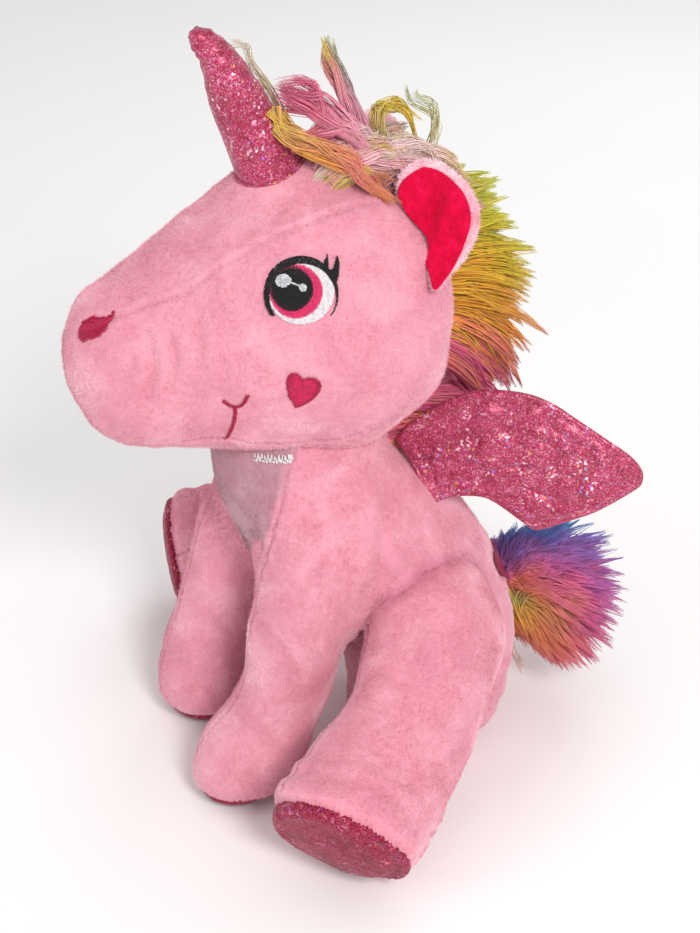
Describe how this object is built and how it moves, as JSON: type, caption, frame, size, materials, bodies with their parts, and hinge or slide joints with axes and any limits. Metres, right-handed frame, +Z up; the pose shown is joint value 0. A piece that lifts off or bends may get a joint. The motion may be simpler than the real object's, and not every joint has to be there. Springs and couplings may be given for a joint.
{
  "type": "plush unicorn",
  "caption": "Sitting plush unicorn with a sewn plush skin over polyester stuffing, a soft glitter horn, padded wings, long-pile mane and tail and embroidered eyes; its limbs flex.",
  "frame": {"origin": "centre of the flat round seat panel, on the surface that the toy sits on", "axes": "+Z up, -Y forwards along the muzzle, +X to the unicorn's own left"},
  "size_m": [0.2351, 0.2211, 0.2862],
  "materials": {
    "pink_plush": "short pile plush cloth, matt with a soft sheen",
    "polyester_fill": "loose white polyester fibre",
    "magenta_thread": "satin stitched embroidery thread",
    "white_thread": "satin stitched embroidery thread",
    "rainbow_long_pile": "long combed pile in gold, orange, lime and pink",
    "black_thread": "satin stitched embroidery thread",
    "pale_long_pile": "long pile in pale pink, cream and yellow",
    "glitter_cloth": "crimson cloth with holographic glitter",
    "hot_pink_fleece": "short brushed fleece",
    "tail_long_pile": "long pile from orange through purple to blue"
  },
  "bodies": {
    "torso": {"body_left_panel": "pink_plush", "body_right_panel": "pink_plush", "belly_panel": "pink_plush", "seat_panel": "pink_plush", "body_stuffing": "polyester_fill", "rump_hearts": "magenta_thread", "throat_stitch": "white_thread", "nape_pile": "rainbow_long_pile"},
    "neck": {"neck_stuffing": "polyester_fill"},
    "head": {"head_left_panel": "pink_plush", "head_right_panel": "pink_plush", "forehead_panel": "pink_plush", "chin_panel": "pink_plush", "head_stuffing": "polyester_fill", "eye_left_white": "white_thread", "eye_left_iris": "magenta_thread", "eye_left_pupil": "black_thread", "eye_left_glints": "white_thread", "eye_left_outline": "black_thread", "eye_right_white": "white_thread", "eye_right_iris": "magenta_thread", "eye_right_pupil": "black_thread", "eye_right_glints": "white_thread", "eye_right_outline": "black_thread", "nostrils": "magenta_thread", "mouth_stitch": "magenta_thread", "cheek_hearts": "magenta_thread", "mane_strip": "rainbow_long_pile", "mane_pile": "rainbow_long_pile", "forelock_pile": "pale_long_pile"},
    "horn": {"horn_cover": "glitter_cloth", "horn_stuffing": "polyester_fill"},
    "ear_left": {"ear_left_back": "pink_plush", "ear_left_lining": "hot_pink_fleece"},
    "ear_right": {"ear_right_back": "pink_plush", "ear_right_lining": "hot_pink_fleece"},
    "wing_left": {"wing_left_outer": "glitter_cloth", "wing_left_inner": "glitter_cloth", "wing_left_padding": "polyester_fill"},
    "wing_right": {"wing_right_outer": "glitter_cloth", "wing_right_inner": "glitter_cloth", "wing_right_padding": "polyester_fill"},
    "tail": {"tail_core": "polyester_fill", "tail_pile": "tail_long_pile"},
    "front_left_leg": {"front_left_leg_outer": "pink_plush", "front_left_leg_inner": "pink_plush", "front_left_sole": "glitter_cloth", "front_left_leg_stuffing": "polyester_fill"},
    "front_right_leg": {"front_right_leg_outer": "pink_plush", "front_right_leg_inner": "pink_plush", "front_right_sole": "glitter_cloth", "front_right_leg_stuffing": "polyester_fill"},
    "hind_left_leg": {"hind_left_leg_outer": "pink_plush", "hind_left_leg_inner": "pink_plush", "hind_left_sole": "glitter_cloth", "hind_left_leg_stuffing": "polyester_fill"},
    "hind_right_leg": {"hind_right_leg_outer": "pink_plush", "hind_right_leg_inner": "pink_plush", "hind_right_sole": "glitter_cloth", "hind_right_leg_stuffing": "polyester_fill"}
  },
  "joints": [
    {"name": "head_turn", "type": "hinge", "parent": "torso", "child": "neck", "pos_m": [0, -0.043, 0.148], "axis": [0, 0, 1], "range_deg": [-20, 20], "stiffness_Nm_per_rad": 0.6},
    {"name": "head_nod", "type": "hinge", "parent": "neck", "child": "head", "pos_m": [0, -0.043, 0.148], "axis": [1, 0, 0], "range_deg": [-5, 10], "stiffness_Nm_per_rad": 0.9},
    {"name": "horn_tilt", "type": "hinge", "parent": "head", "child": "horn", "pos_m": [0, -0.052, 0.235], "axis": [1, 0, 0], "range_deg": [-8, 8], "stiffness_Nm_per_rad": 0.05},
    {"name": "ear_left_fold", "type": "hinge", "parent": "head", "child": "ear_left", "pos_m": [0.0371, -0.006, 0.2043], "axis": [0.4695, 0.8829, 0], "range_deg": [-4, 35], "stiffness_Nm_per_rad": 0.02},
    {"name": "ear_right_fold", "type": "hinge", "parent": "head", "child": "ear_right", "pos_m": [-0.0371, -0.006, 0.2043], "axis": [0.4695, -0.8829, 0], "range_deg": [-4, 35], "stiffness_Nm_per_rad": 0.02},
    {"name": "wing_left_flap", "type": "hinge", "parent": "torso", "child": "wing_left", "pos_m": [0.0159, -0.0028, 0.1235], "axis": [0.32, 0.5121, -0.7971], "range_deg": [-8, 40], "stiffness_Nm_per_rad": 0.05},
    {"name": "wing_right_flap", "type": "hinge", "parent": "torso", "child": "wing_right", "pos_m": [-0.0159, -0.0028, 0.1235], "axis": [0.32, -0.5121, 0.7971], "range_deg": [-8, 40], "stiffness_Nm_per_rad": 0.05},
    {"name": "tail_lift", "type": "hinge", "parent": "torso", "child": "tail", "pos_m": [0, 0.038, 0.05], "axis": [1, 0, 0], "range_deg": [-10, 30], "stiffness_Nm_per_rad": 0.03},
    {"name": "front_left_leg_swing", "type": "hinge", "parent": "torso", "child": "front_left_leg", "pos_m": [0.028, -0.046, 0.11], "axis": [-1, 0, 0], "range_deg": [-2, 25], "stiffness_Nm_per_rad": 0.4},
    {"name": "front_right_leg_swing", "type": "hinge", "parent": "torso", "child": "front_right_leg", "pos_m": [-0.028, -0.046, 0.11], "axis": [-1, 0, 0], "range_deg": [-2, 25], "stiffness_Nm_per_rad": 0.4},
    {"name": "hind_left_leg_lift", "type": "hinge", "parent": "torso", "child": "hind_left_leg", "pos_m": [0.038, -0.005, 0.07], "axis": [-0.3351, -0.7501, 0.5701], "range_deg": [-2, 25], "stiffness_Nm_per_rad": 0.6},
    {"name": "hind_right_leg_lift", "type": "hinge", "parent": "torso", "child": "hind_right_leg", "pos_m": [-0.038, -0.005, 0.07], "axis": [-0.3351, 0.7501, -0.5701], "range_deg": [-2, 25], "stiffness_Nm_per_rad": 0.6}
  ]
}
